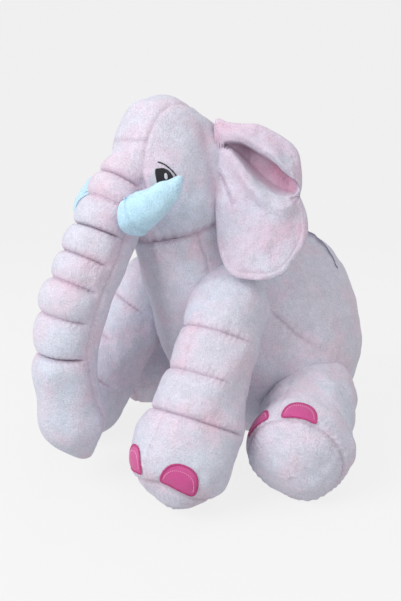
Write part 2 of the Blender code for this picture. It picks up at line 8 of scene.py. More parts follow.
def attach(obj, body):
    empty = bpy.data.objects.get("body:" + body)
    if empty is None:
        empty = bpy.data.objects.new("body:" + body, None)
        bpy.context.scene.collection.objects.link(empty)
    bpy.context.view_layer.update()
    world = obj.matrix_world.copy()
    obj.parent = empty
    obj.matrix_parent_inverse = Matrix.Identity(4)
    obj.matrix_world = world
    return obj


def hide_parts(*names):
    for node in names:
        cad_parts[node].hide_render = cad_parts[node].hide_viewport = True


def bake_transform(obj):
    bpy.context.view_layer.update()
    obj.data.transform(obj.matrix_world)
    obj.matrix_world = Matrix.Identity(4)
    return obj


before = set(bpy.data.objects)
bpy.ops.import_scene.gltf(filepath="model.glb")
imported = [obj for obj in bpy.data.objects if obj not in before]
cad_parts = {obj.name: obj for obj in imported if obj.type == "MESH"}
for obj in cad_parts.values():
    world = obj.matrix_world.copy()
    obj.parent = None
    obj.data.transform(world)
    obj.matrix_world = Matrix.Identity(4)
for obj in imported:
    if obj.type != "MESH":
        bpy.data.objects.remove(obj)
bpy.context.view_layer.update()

sides = {"left": 1.0, "right": -1.0}
xAxis, yAxis, zAxis = np.eye(3)
print("frame loaded:", len(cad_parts), "nodes")


# small helpers

def ease(x, low, high):  # 0 below low, 1 above high, smooth between
    t = np.clip((x - low) / (high - low), 0.0, 1.0)
    return t * t * (3.0 - 2.0 * t)


def hump(distance, width):
    return np.exp(-(distance / width) ** 2)


def around(phi):  # the angle from the tube's front, 0 to pi
    return np.abs((phi + math.pi) % math.tau - math.pi)


def softNoise(points, size, seed):  # smooth lumps about size metres across, mostly within +-1
    chance = np.random.RandomState(seed)
    total = np.zeros(points.shape[:-1])
    for _ in range(14):
        way = chance.normal(size=3)
        way *= math.tau / size * chance.uniform(0.6, 1.4) / np.linalg.norm(way)
        total += np.sin(points @ way + chance.uniform(0.0, math.tau))
    return total / 3.2


def unit(vectors):
    return vectors / np.maximum(np.linalg.norm(vectors, axis=-1, keepdims=True), 1e-9)


# soft tubes: elliptical sections strung along a spine, stretched over by a smooth surface

def curveBetween(a, b, c, d, t):  # a smooth line from b to c
    square, cube = 2 * a - 5 * b + 4 * c - d, 3 * b - a - 3 * c + d
    return 0.5 * (2 * b + (c - a) * t + square * t ** 2 + cube * t ** 3)


class SoftTube:
    def __init__(self, stations, side=xAxis, roundStart=False, roundEnd=False, startWay=None, endWay=None):
        rows = np.array([[*centre, width, depth] for centre, width, depth in stations])
        turned = np.array([1.0, 1.0, 1.0, -1.0, -1.0])
        before = rows[1] * turned if roundStart else rows[0] * 2.0 - rows[1]
        after = rows[-2] * turned if roundEnd else rows[-1] * 2.0 - rows[-2]
        self.knots = np.vstack([before, rows, after])
        self.last = len(rows) - 1.0
        self.side, self.startWay, self.endWay = side, startWay, endWay
        self.roundStart, self.roundEnd = roundStart, roundEnd

    def section(self, s):
        s = np.clip(np.asarray(s, float), 0.0, self.last)
        low = np.minimum(s.astype(int), int(self.last) - 1)
        t = (s - low)[..., None]
        return curveBetween(*[self.knots[low + k] for k in range(4)], t)

    def axes(self, s):
        s = np.asarray(s, float)
        way = unit(self.section(s + 0.02)[..., :3] - self.section(s - 0.02)[..., :3])
        if self.startWay is not None:
            t = np.clip(s, 0.0, 1.0)[..., None]
            way = unit(self.startWay * (1.0 - t) + way * t)
        if self.endWay is not None:
            t = np.clip(s - self.last + 1.0, 0.0, 1.0)[..., None]
            way = unit(way * (1.0 - t) + self.endWay * t)
        side = unit(self.side - way * (way @ self.side)[..., None])
        return way, side, unit(np.cross(side, way))

    def raw(self, s, phi):
        section = self.section(s)
        _, side, front = self.axes(s)
        wide = (section[..., 3] * np.sin(phi))[..., None]
        deep = (section[..., 4] * np.cos(phi))[..., None]
        return section[..., :3] + side * wide + front * deep

    def normal(self, s, phi):
        s = np.clip(s, 0.03, self.last - 0.03)
        along = self.raw(s + 0.02, phi) - self.raw(s - 0.02, phi)
        ring = self.raw(s, phi + 0.02) - self.raw(s, phi - 0.02)
        normal = unit(np.cross(along, ring))
        inside = np.sum(normal * (self.raw(s, phi) - self.section(s)[..., :3]), axis=-1, keepdims=True)
        return np.where(inside < 0.0, -normal, normal)

    def radius(self, s):
        return np.maximum(np.abs(self.section(s)[..., 3]), 0.004)

    def step(self, s):  # metres along the spine for one section
        ahead = self.section(s + 0.25)[..., :3] - self.section(s - 0.25)[..., :3]
        return np.maximum(np.linalg.norm(ahead, axis=-1) * 2.0, 0.004)

    def rows(self, low, high, spacing):  # rows at even steps over the surface
        fine = np.linspace(low, high, 600)
        line = (self.raw(fine, np.full(600, 1.57)) + self.raw(fine, np.full(600, 0.0))) / 2.0
        length = np.concatenate([[0.0], np.cumsum(np.linalg.norm(np.diff(line, axis=0), axis=1))])
        return np.interp(np.linspace(0.0, length[-1], max(int(length[-1] / spacing), 8)), length, fine)


def onSkin(tube, relief, s, phi, lift=0.0):  # points on the finished skin, lifted off it
    s, phi = np.broadcast_arrays(np.asarray(s, float), np.asarray(phi, float))
    base = tube.raw(s, phi)
    height, creaseShade, tintAndShade = relief(s, phi, base)
    place = base + tube.normal(s, phi) * (height + lift)[..., None]
    place[..., 2] = np.maximum(place[..., 2], 0.0004)
    return place, creaseShade, tintAndShade


def makeMesh(name, points, faces, finish, creaseShade=None, tintAndShade=None, sharp=55.0):
    mesh = bpy.data.meshes.new(name)
    mesh.from_pydata([tuple(point) for point in points], [], faces)
    # point masks for the finish: painted shade in creases, seams and hollows, and a tint that is partly
    # painted warm shade
    for label, values in (("creaseShade", creaseShade), ("tintAndShade", tintAndShade)):
        if values is not None:
            layer = mesh.attributes.new(label, "FLOAT", "POINT")
            layer.data.foreach_set("value", np.asarray(values, np.float32))
    bm = bmesh.new()
    bm.from_mesh(mesh)
    bmesh.ops.remove_doubles(bm, verts=bm.verts, dist=1e-6)
    bmesh.ops.recalc_face_normals(bm, faces=bm.faces)
    if bm.calc_volume(signed=True) < 0.0:
        bmesh.ops.reverse_faces(bm, faces=bm.faces)
    bm.to_mesh(mesh)
    bm.free()
    mesh.shade_smooth()
    mesh.set_sharp_from_angle(angle=math.radians(sharp))
    mesh.materials.append(finish)
    piece = bpy.data.objects.new(name, mesh)
    bpy.context.scene.collection.objects.link(piece)
    return piece


def skinPiece(name, tube, relief, low, high, spacing, finish):  # a closed skin from section low to high
    s = tube.rows(low, high, spacing)
    columns = int(math.tau * np.max(tube.radius(s)) / spacing)
    phi = np.linspace(0.0, math.tau, columns, endpoint=False)
    grid, creaseShade, tintAndShade = onSkin(tube, relief, s[:, None], phi[None, :])
    points = grid.reshape(-1, 3)
    count = len(s)
    faces = []
    for row in range(count - 1):
        for k in range(columns):
            n = (k + 1) % columns
            a, b = row * columns, (row + 1) * columns
            faces.append((a + k, a + n, b + n, b + k))
    ends = np.array([grid[0].mean(axis=0), grid[-1].mean(axis=0)])
    inwards = unit(ends[::-1] - ends)
    for number, isRound in enumerate((tube.roundStart and low <= 0.0, tube.roundEnd and high >= tube.last)):
        if not isRound:
            ends[number] += inwards[number] * 0.004
    points = np.vstack([points, ends])
    for k in range(columns):
        n = (k + 1) % columns
        faces.append((len(points) - 2, n, k))
        faces.append((len(points) - 1, (count - 1) * columns + k, (count - 1) * columns + n))
    creaseShade = np.append(creaseShade.ravel(), [creaseShade[0].mean(), creaseShade[-1].mean()])
    tintAndShade = np.append(tintAndShade.ravel(), [tintAndShade[0].mean(), tintAndShade[-1].mean()])
    return makeMesh(name, points, faces, finish, creaseShade, tintAndShade)


def tuckProfile(s, tucks):  # 0 in a tuck, 1 at the crown of each roll, 1 past the last rolls
    tucks = np.asarray(tucks)
    first, last = tucks[1] - tucks[0], tucks[-1] - tucks[-2]
    edges = np.array([tucks[0] - first, *tucks, tucks[-1] + last])
    low = np.clip(np.searchsorted(edges, s, side="right") - 1, 0, len(edges) - 2)
    t = np.clip((s - edges[low]) / (edges[low + 1] - edges[low]), 0.0, 1.0)
    t = np.where(s < tucks[0], np.maximum(t, 0.5), t)
    t = np.where(s > tucks[-1], np.minimum(t, 0.5), t)
    return np.sqrt(np.clip(4.0 * t * (1.0 - t), 0.0, 1.0)) ** 0.9


def nearest(s, marks):
    return np.min(np.abs(np.asarray(s)[..., None] - np.asarray(marks)), axis=-1)


def seamDip(distance, along, reach=0.012, depth=0.0016, pucker=0.0007, wave=0.0085, seed=1):
    # the groove of a sewn seam with small puckers that die away beside it
    ripple = np.sin(math.tau * along / wave + 2.0 * np.sin(along * 71.0 + seed) + seed)
    return -depth * hump(distance, 0.0026) + pucker * ripple * hump(distance, reach)


# finishes

class Finish:  # a node material and short ways to add to it
    def __init__(self, name):
        self.material = bpy.data.materials.new(name)
        self.material.use_nodes = True
        self.tree = self.material.node_tree
        self.shader = self.tree.nodes["Principled BSDF"]
        self.place = self.node("ShaderNodeTexCoord").outputs["Object"]

    def node(self, kind, **values):
        node = self.tree.nodes.new(kind)
        for label, value in values.items():
            setattr(node, label, value)
        return node

    def feed(self, socket, value):
        if isinstance(value, bpy.types.NodeSocket):
            self.tree.links.new(value, socket)
        else:
            socket.default_value = value

    def noise(self, scale, detail=2.0, rough=0.5, place=None):
        node = self.node("ShaderNodeTexNoise")
        self.feed(node.inputs["Vector"], place or self.place)
        self.feed(node.inputs["Scale"], scale)
        self.feed(node.inputs["Detail"], detail)
        self.feed(node.inputs["Roughness"], rough)
        return node.outputs["Fac"]

    def remap(self, value, low, high, toLow=0.0, toHigh=1.0):
        node = self.node("ShaderNodeMapRange")
        for label, number in (("From Min", low), ("From Max", high), ("To Min", toLow), ("To Max", toHigh)):
            self.feed(node.inputs[label], number)
        self.feed(node.inputs["Value"], value)
        return node.outputs["Result"]

    def sum(self, operation, a, b):
        node = self.node("ShaderNodeMath", operation=operation)
        self.feed(node.inputs[0], a)
        self.feed(node.inputs[1], b)
        return node.outputs[0]

    def mix(self, factor, a, b, blend="MIX"):
        node = self.node("ShaderNodeMix", data_type="RGBA", blend_type=blend)
        self.feed(node.inputs["Factor"], factor)
        for socket, colour in ((node.inputs[6], a), (node.inputs[7], b)):
            self.feed(socket, (*colour, 1.0) if isinstance(colour, tuple) else colour)
        return node.outputs[2]

    def attribute(self, name):
        return self.node("ShaderNodeAttribute", attribute_name=name).outputs["Fac"]

    def bump(self, height, distance, strength=1.0, normal=None):
        node = self.node("ShaderNodeBump")
        self.feed(node.inputs["Height"], height)
        self.feed(node.inputs["Distance"], distance)
        self.feed(node.inputs["Strength"], strength)
        if normal:
            self.feed(node.inputs["Normal"], normal)
        return node.outputs["Normal"]


# the seam colour is painted shade, mixed in where creases, seams, tucks and hollows are
plush = {
    "base": (0.69, 0.665, 0.765), "cool": (0.65, 0.69, 0.80), "tintAndShade": (0.83, 0.56, 0.67),
    "seam": (0.40, 0.30, 0.39), "sheen": 0.30, "pile": 0.0014, "grain": 620.0, "patch": 9.0,
}


def plushFinish(name, base, cool, tintAndShade, seam):
    finish = Finish(name)
    patch = finish.remap(finish.noise(plush["patch"], 3.0), 0.38, 0.66)
    cloud = finish.remap(finish.noise(plush["patch"] * 2.3, 4.0, 0.6), 0.46, 0.72)
    nap = finish.noise(85.0, 6.0, 0.72)  # where the pile has been stroked one way or the other
    grain = finish.noise(plush["grain"], 3.0, 0.65)
    clump = finish.node("ShaderNodeTexVoronoi", feature="SMOOTH_F1")
    finish.feed(clump.inputs["Vector"], finish.place)
    finish.feed(clump.inputs["Scale"], plush["grain"] * 0.55)
    colour = finish.mix(patch, base, cool)
    # pink near seams, tucks and in the ear's hollow is painted warm shade; the cloud adds the fabric's random
    # pink patches
    nearSeams = finish.sum("MULTIPLY", finish.attribute("tintAndShade"), 0.42)
    pink = finish.sum("ADD", finish.sum("MULTIPLY", cloud, 0.46), nearSeams)
    colour = finish.mix(finish.remap(pink, 0.0, 1.0), colour, tintAndShade)
    # painted shade: darker toward the seam colour in creases, seams, tucks and the ear's hollow
    colour = finish.mix(finish.remap(finish.attribute("creaseShade"), 0.2, 1.0, 0.0, 0.50), colour, seam)
    stroked = finish.remap(nap, 0.3, 0.7, 0.90, 1.08)
    shade = finish.sum("MULTIPLY", stroked, finish.remap(grain, 0.3, 0.7, 0.82, 1.14))
    speck = finish.node("ShaderNodeCombineColor")
    for socket in speck.inputs[:3]:
        finish.feed(socket, shade)
    colour = finish.mix(1.0, colour, speck.outputs[0], "MULTIPLY")
    finish.feed(finish.shader.inputs["Base Color"], colour)
    finish.feed(finish.shader.inputs["Roughness"], finish.remap(nap, 0.3, 0.7, 0.82, 1.0))
    soft = finish.bump(nap, 0.0030, 0.65)
    pile = finish.bump(grain, plush["pile"], 0.85, soft)
    pile = finish.bump(clump.outputs["Distance"], plush["pile"], 0.35, pile)
    finish.feed(finish.shader.inputs["Normal"], pile)
    finish.shader.inputs["Sheen Weight"].default_value = plush["sheen"]
    finish.shader.inputs["Sheen Roughness"].default_value = 0.45
    finish.shader.inputs["Sheen Tint"].default_value = (0.98, 0.93, 1.0, 1.0)
    finish.shader.inputs["Specular IOR Level"].default_value = 0.15
    return finish.material


def threadFinish(name, colour, dark, roughness, lines, sheen=0.0):  # satin stitch: fine threads side by side
    finish = Finish(name)
    uv = finish.node("ShaderNodeUVMap", uv_map="UVMap").outputs["UV"]
    bands = finish.node("ShaderNodeTexWave", wave_type="BANDS", bands_direction="X", wave_profile="SIN")
    finish.feed(bands.inputs["Vector"], uv)
    finish.feed(bands.inputs["Scale"], lines)
    finish.feed(bands.inputs["Distortion"], 1.2)
    finish.feed(bands.inputs["Detail"], 2.0)
    thread = bands.outputs["Fac"]
    wear = finish.noise(240.0, 4.0, 0.6)
    tone = finish.sum("ADD", finish.sum("MULTIPLY", thread, 0.6), finish.sum("MULTIPLY", wear, 0.5))
    finish.feed(finish.shader.inputs["Base Color"], finish.mix(finish.remap(tone, 0.25, 0.85), dark, colour))
    shine = finish.remap(wear, 0.3, 0.7, roughness - 0.08, roughness + 0.1)
    finish.feed(finish.shader.inputs["Roughness"], shine)
    normal = finish.bump(thread, 0.0004, 0.6)
    finish.feed(finish.shader.inputs["Normal"], finish.bump(wear, 0.0003, 0.5, normal))
    finish.shader.inputs["Sheen Weight"].default_value = sheen
    return finish.material


def strandFinish(name, colour, dark, roughness):  # single threads laid as geometry
    finish = Finish(name)
    twist = finish.noise(900.0, 2.0)
    finish.feed(finish.shader.inputs["Base Color"], finish.mix(finish.remap(twist, 0.35, 0.65), dark, colour))
    shine = finish.remap(twist, 0.3, 0.7, roughness - 0.1, roughness + 0.1)
    finish.feed(finish.shader.inputs["Roughness"], shine)
    finish.feed(finish.shader.inputs["Normal"], finish.bump(twist, 0.0003, 0.5))
    return finish.material


# the third colour of each plush is its tint, used for random patches and as painted warm shade near seams and
# hollows
lilacPlush = plushFinish("lilac plush", plush["base"], plush["cool"], plush["tintAndShade"], plush["seam"])
# a darker, pinker copy of the lilac plush: painted shade over the ears
shadedEarPlush = plushFinish("shaded ear plush", (0.67, 0.58, 0.69), plush["cool"], (0.78, 0.42, 0.56), plush["seam"])
# the last colour is painted shade for the tusk's seam groove and fold
tuskPlush = plushFinish(
    "tusk plush", (0.53, 0.79, 0.95), (0.58, 0.83, 0.97), (0.64, 0.78, 0.93), (0.30, 0.48, 0.64))
nailSatin = threadFinish("nail satin", (0.72, 0.105, 0.36), (0.52, 0.05, 0.22), 0.45, 26.0, 0.2)
eyeBlack = threadFinish("eye black", (0.020, 0.020, 0.026), (0.004, 0.004, 0.006), 0.40, 22.0)
eyeWhite = threadFinish("eye white", (0.80, 0.80, 0.86), (0.60, 0.58, 0.66), 0.55, 22.0)
rimThread = strandFinish("nail rim thread", (0.56, 0.06, 0.25), (0.38, 0.03, 0.15), 0.4)
stitchThread = strandFinish("nail stitch thread", (0.95, 0.55, 0.74), (0.85, 0.40, 0.62), 0.45)
lidThread = strandFinish("lid thread", (0.02, 0.02, 0.025), (0.005, 0.005, 0.008), 0.4)
print("finishes made")


# geometry nodes: a row of threads laid across an outline

def threadTree():
    tree = bpy.data.node_groups.new("threadRow", "GeometryNodeTree")
    socket = tree.interface.new_socket
    socket("Geometry", in_out="INPUT", socket_type="NodeSocketGeometry")
    for label, value in (("Spacing", 0.001), ("Length", 0.003), ("Thickness", 0.0007), ("Wobble", 0.1)):
        socket(label, in_out="INPUT", socket_type="NodeSocketFloat").default_value = value
    socket("Seed", in_out="INPUT", socket_type="NodeSocketInt").default_value = 3
    socket("Material", in_out="INPUT", socket_type="NodeSocketMaterial")
    socket("Geometry", in_out="OUTPUT", socket_type="NodeSocketGeometry")
    node, link = tree.nodes.new, tree.links.new
    given, result = node("NodeGroupInput"), node("NodeGroupOutput")
    toCurve, resample = node("GeometryNodeMeshToCurve"), node("GeometryNodeResampleCurve")
    resample.mode = "LENGTH"
    link(given.outputs["Geometry"], toCurve.inputs["Mesh"])
    link(toCurve.outputs["Curve"], resample.inputs["Curve"])
    link(given.outputs["Spacing"], resample.inputs["Length"])
    up = node("GeometryNodeInputNamedAttribute")
    up.data_type = "FLOAT_VECTOR"
    up.inputs["Name"].default_value = "up"
    tangent = node("GeometryNodeInputTangent")
    rise, turn = node("FunctionNodeAlignRotationToVector"), node("FunctionNodeAlignRotationToVector")
    rise.axis, turn.axis, turn.pivot_axis = "Z", "X", "Z"
    link(up.outputs["Attribute"], rise.inputs["Vector"])
    link(rise.outputs["Rotation"], turn.inputs["Rotation"])
    link(tangent.outputs["Tangent"], turn.inputs["Vector"])
    ball, scale = node("GeometryNodeMeshUVSphere"), node("ShaderNodeCombineXYZ")
    ball.inputs["Segments"].default_value, ball.inputs["Rings"].default_value = 8, 6
    ball.inputs["Radius"].default_value = 0.5
    wobble = node("FunctionNodeRandomValue")
    link(given.outputs["Seed"], wobble.inputs["Seed"])
    low, high, length = node("ShaderNodeMath"), node("ShaderNodeMath"), node("ShaderNodeMath")
    low.operation, high.operation, length.operation = "SUBTRACT", "ADD", "MULTIPLY"
    low.inputs[0].default_value = high.inputs[0].default_value = 1.0
    link(given.outputs["Wobble"], low.inputs[1])
    link(given.outputs["Wobble"], high.inputs[1])
    link(low.outputs[0], wobble.inputs["Min"])
    link(high.outputs[0], wobble.inputs["Max"])
    link(given.outputs["Length"], length.inputs[0])
    link(wobble.outputs["Value"], length.inputs[1])
    link(given.outputs["Thickness"], scale.inputs["X"])
    link(length.outputs[0], scale.inputs["Y"])
    link(given.outputs["Thickness"], scale.inputs["Z"])
    place, real = node("GeometryNodeInstanceOnPoints"), node("GeometryNodeRealizeInstances")
    paint = node("GeometryNodeSetMaterial")
    link(resample.outputs["Curve"], place.inputs["Points"])
    link(ball.outputs["Mesh"], place.inputs["Instance"])
    link(turn.outputs["Rotation"], place.inputs["Rotation"])
    link(scale.outputs["Vector"], place.inputs["Scale"])
    link(place.outputs["Instances"], real.inputs["Geometry"])
    link(real.outputs["Geometry"], paint.inputs["Geometry"])
    link(given.outputs["Material"], paint.inputs["Material"])
    link(paint.outputs["Geometry"], result.inputs["Geometry"])
    return tree


threadRow = threadTree()


def layThreads(name, line, ups, closed, finish, sizes):  # threads across a line of points, as a plain mesh
    mesh = bpy.data.meshes.new(name + "Line")
    edges = [(k, k + 1) for k in range(len(line) - 1)] + ([(len(line) - 1, 0)] if closed else [])
    mesh.from_pydata([tuple(point) for point in line], edges, [])
    layer = mesh.attributes.new("up", "FLOAT_VECTOR", "POINT")
    layer.data.foreach_set("vector", np.asarray(ups, np.float32).ravel())
    guide = bpy.data.objects.new(name + "Line", mesh)
    bpy.context.scene.collection.objects.link(guide)
    modifier = guide.modifiers.new("threads", "NODES")
    modifier.node_group = threadRow
    for item in threadRow.interface.items_tree:
        if item.in_out == "INPUT" and item.name in sizes:
            modifier[item.identifier] = sizes[item.name]
        if item.in_out == "INPUT" and item.name == "Material":
            modifier[item.identifier] = finish
    seen = guide.evaluated_get(bpy.context.evaluated_depsgraph_get())
    made = bpy.data.meshes.new_from_object(seen)
    made.name = name
    made.shade_smooth()
    if not made.materials:
        made.materials.append(finish)
    bpy.data.objects.remove(guide, do_unlink=True)
    piece = bpy.data.objects.new(name, made)
    bpy.context.scene.collection.objects.link(piece)
    return piece


def sewThreads(name, flat, spot, lift, closed, finish, sizes):  # threads along an outline on a skin
    line, inside = (spot(flat[:, 0], flat[:, 1], depth) for depth in (lift, -0.004))
    return layThreads(name, line, unit(line - inside), closed, finish, sizes)


# patches sewn or embroidered on a skin

def smoothLoop(corners, count):  # a closed smooth line through corners
    corners = np.asarray(corners, float)
    t = np.linspace(0.0, len(corners), count, endpoint=False)
    low = t.astype(int)
    f = (t - low)[:, None]
    return curveBetween(*[corners[(low + k - 1) % len(corners)] for k in range(4)], f)


def patchPiece(name, outline, spot, lift, crown, finish, rings=10):
    # outline in metres round the spot; spot(x, y, lift) gives the place on the skin
    middle = outline.mean(axis=0)
    shares = np.concatenate([np.linspace(0.0, 0.9, rings), [0.96, 1.0]])[1:]
    flat = middle + (outline - middle)[None, :, :] * shares[:, None, None]
    high = lift + crown * (1.0 - shares ** 2)[:, None] * np.ones(len(outline))
    top = spot(flat[..., 0], flat[..., 1], high)
    foot = spot(outline[:, 0], outline[:, 1], np.full(len(outline), -0.0015))
    centre = spot(middle[:1], middle[1:], np.array([lift + crown]))
    under = spot(middle[:1], middle[1:], np.array([-0.0015]))
    points = np.vstack([centre, top.reshape(-1, 3), foot, under])
    flats = np.vstack([middle[None, :], flat.reshape(-1, 2), outline, middle[None, :]])
    count = len(outline)
    faces = []
    for k in range(count):
        n = (k + 1) % count
        faces.append((0, 1 + k, 1 + n))
        for ring in range(len(shares)):
            a, b = 1 + ring * count, 1 + (ring + 1) * count
            faces.append((a + k, b + k, b + n, a + n))
        faces.append((1 + len(shares) * count + k, len(points) - 1, 1 + len(shares) * count + n))
    piece = makeMesh(name, points, faces, finish, sharp=70.0)
    mesh = piece.data
    places = np.array([vertex.co for vertex in mesh.vertices])
    order = [int(np.argmin(np.sum((points - place) ** 2, axis=1))) for place in places]
    size = np.ptp(outline[:, 0])
    uv = mesh.uv_layers.new(name="UVMap")
    for loop in mesh.loops:
        uv.data[loop.index].uv = flats[order[loop.vertex_index]] / size
    return piece


# shapes shared with the solids: one frame, metres

shape = {
    "torsoLength": 0.300, "torsoHalfWidth": 0.152, "torsoHalfDepth": 0.172,
    "neck": np.array([0.0, -0.050, 0.335]), "neckWay": np.array([0.0, -0.342, 0.940]), "neckRadius": 0.074,
    "headHalfWidth": 0.077, "headHalfDepth": 0.087, "headHeight": 0.168,
    "trunkRadius": 0.041, "tuskLength": 0.100, "tuskRadius": 0.023,
    "shoulder": np.array([0.086, -0.028, 0.256]), "hip": np.array([0.112, 0.112, 0.098]),
    "frontFoot": {"left": np.array([0.126, -0.143, 0.062]), "right": np.array([-0.130, -0.163, 0.062])},
    "hindFoot": {"left": np.array([0.196, -0.008, 0.064]), "right": np.array([-0.196, -0.008, 0.064])},
    "frontRadii": (0.053, 0.065, 0.056), "hindRadii": (0.062, 0.067, 0.054),
}
neck, neckWay = shape["neck"], shape["neckWay"]


def torsoTube():
    outline = [(1.00, 0.84, 0.00, 0.00), (0.91, 0.84, 0.62, 0.60), (0.73, 0.86, 0.91, 0.92),
               (0.50, 0.96, 1.00, 0.99), (0.29, 1.21, 0.87, 0.80), (0.14, 1.51, 0.66, 0.58)]
    stations = []
    for back, up, width, depth in outline:
        centre = (0.0, neck[1] + back * shape["torsoLength"], up * shape["torsoHalfDepth"])
        stations.append((centre, width * shape["torsoHalfWidth"], depth * shape["torsoHalfDepth"]))
    stations.append((neck - neckWay * 0.013, shape["neckRadius"], shape["neckRadius"]))
    stations.append((neck + neckWay * 0.013, shape["neckRadius"] * 0.96, shape["neckRadius"] * 0.96))
    return SoftTube(stations, roundStart=True, endWay=neckWay)


def headTube():
    outline = [(0.28, 0.12, 1.00, 0.94), (0.50, 0.22, 1.00, 1.02), (0.72, 0.22, 0.87, 0.91),
               (0.91, 0.10, 0.58, 0.63), (0.985, 0.03, 0.00, 0.00)]
    stations = [(neck + neckWay * 0.013, shape["neckRadius"] * 0.96, shape["neckRadius"] * 0.96)]
    for up, forward, width, depth in outline:
        centre = neck + zAxis * up * shape["headHeight"] - yAxis * forward * shape["headHalfDepth"]
        stations.append((centre, width * shape["headHalfWidth"], depth * shape["headHalfDepth"]))
    return SoftTube(stations, roundEnd=True, startWay=neckWay)


trunk = {
    "lead": 3,  # sections that run up into the brow, above the first tuck
    "line": ((-0.090, 0.470), (-0.106, 0.449), (-0.123, 0.424), (-0.140, 0.398), (-0.163, 0.364),
             (-0.185, 0.320), (-0.206, 0.281), (-0.222, 0.247),
             (-0.234, 0.203), (-0.238, 0.165), (-0.236, 0.130), (-0.228, 0.085), (-0.219, 0.040)),
    "swell": (0.0, 0.72, 0.92, 0.94, 0.98, 1.03, 1.01, 1.04, 0.97, 0.94, 0.92, 0.96, 0.0),
    "tucks": (0.10, 0.88, 1.62, 2.45, 3.32, 4.32, 5.38), "rise": 0.0056, "dip": 0.0064, "spacing": 0.0020,
}


def trunkTube():
    stations = []
    for (y, z), swell in zip(trunk["line"], trunk["swell"]):
        stations.append(((0.0, y, z), swell * shape["trunkRadius"], swell * shape["trunkRadius"]))
    return SoftTube(stations, roundStart=True, roundEnd=True)


def legTube(root, foot, legRadius, footRadius, bulge):
    line = foot - root
    sole = 1.0 + bulge / np.linalg.norm(line)
    outline = [(-0.16, 0.00, legRadius), (-0.10, 0.66, legRadius), (0.06, 0.96, legRadius),
               (0.30, 1.00, legRadius), (0.55, 1.02, legRadius), (0.78, 0.96, footRadius),
               (0.98, 1.00, footRadius), (0.4 + 0.6 * sole, 0.80, footRadius), (sole, 0.00, footRadius)]
    stations = [(root + line * share, swell * radius, swell * radius) for share, swell, radius in outline]
    return SoftTube(stations, roundStart=True, roundEnd=True)


# torso

torso = {"gusset": 0.060, "sideSeam": 88.0, "dimple": 0.009, "lumps": 0.0022, "spacing": 0.0034}


def torsoRelief(s, phi, points):
    tube = torsoSkin
    away, radius = around(phi), tube.radius(s)
    length = s * 0.055
    gusset = torso["gusset"] / np.maximum(radius, torso["gusset"])
    gusset = gusset + (math.radians(70.0) - gusset) * ease(s, 4.6, 6.0)
    fromGusset = np.abs(away - gusset) * radius
    fromSide = np.abs(away - math.radians(torso["sideSeam"])) * radius
    fromBack = (math.pi - away) * radius
    sideSeam = (0.25 + 0.75 * ease(s, 3.1, 3.8)) * ease(s, 1.0, 1.5) * (1.0 - ease(s, 4.4, 4.75))
    backSeam = ease(s, 0.4, 0.9) * (1.0 - ease(s, 5.6, 6.0))
    height = softNoise(points, 0.11, 5) * torso["lumps"] + softNoise(points, 0.035, 6) * 0.0006
    height += seamDip(fromGusset, length, seed=2) * ease(s, 0.4, 0.8)
    height += seamDip(fromSide, length, 0.016, 0.0022, 0.0010, 0.011, 3) * sideSeam
    height += seamDip(fromBack, length, 0.010, 0.0005, 0.0002, seed=4) * backSeam
    dimple = hump(fromSide, 0.024) * hump((s - 3.75) * 0.075, 0.022)
    height -= torso["dimple"] * dimple
    neckPinch = hump((tube.last - s) * 0.026, 0.006)
    height = height - 0.002 * neckPinch + 0.0012 * np.sin(phi * 23.0) * hump((tube.last - s) * 0.026, 0.020)
    # painted shade in the gusset, side and back seams and the neck pinch
    creaseShade = hump(fromGusset, 0.0026) + 1.5 * hump(fromSide, 0.0030) * sideSeam
    creaseShade = 0.55 * (creaseShade + 0.3 * hump(fromBack, 0.0024) * backSeam) + neckPinch
    # pink near the seams and the neck pinch: painted warm shade
    tintAndShade = 0.5 * (hump(fromGusset, 0.016) + hump(fromSide, 0.014) * sideSeam) + 0.4 * neckPinch
    return height, np.clip(creaseShade, 0, 1), np.clip(tintAndShade, 0, 1)


torsoSkin = torsoTube()
torsoPiece = skinPiece(
    "torso_skin", torsoSkin, torsoRelief, 0.0, torsoSkin.last, torso["spacing"], lilacPlush)
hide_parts("body_panel_left", "body_panel_right", "belly_gusset", "body_stuffing", "neck_stuffing")
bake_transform(torsoPiece)
print("torso made")


# head

head = {"gusset": 0.045, "browSeam": 2.80, "lumps": 0.0014, "spacing": 0.0024}


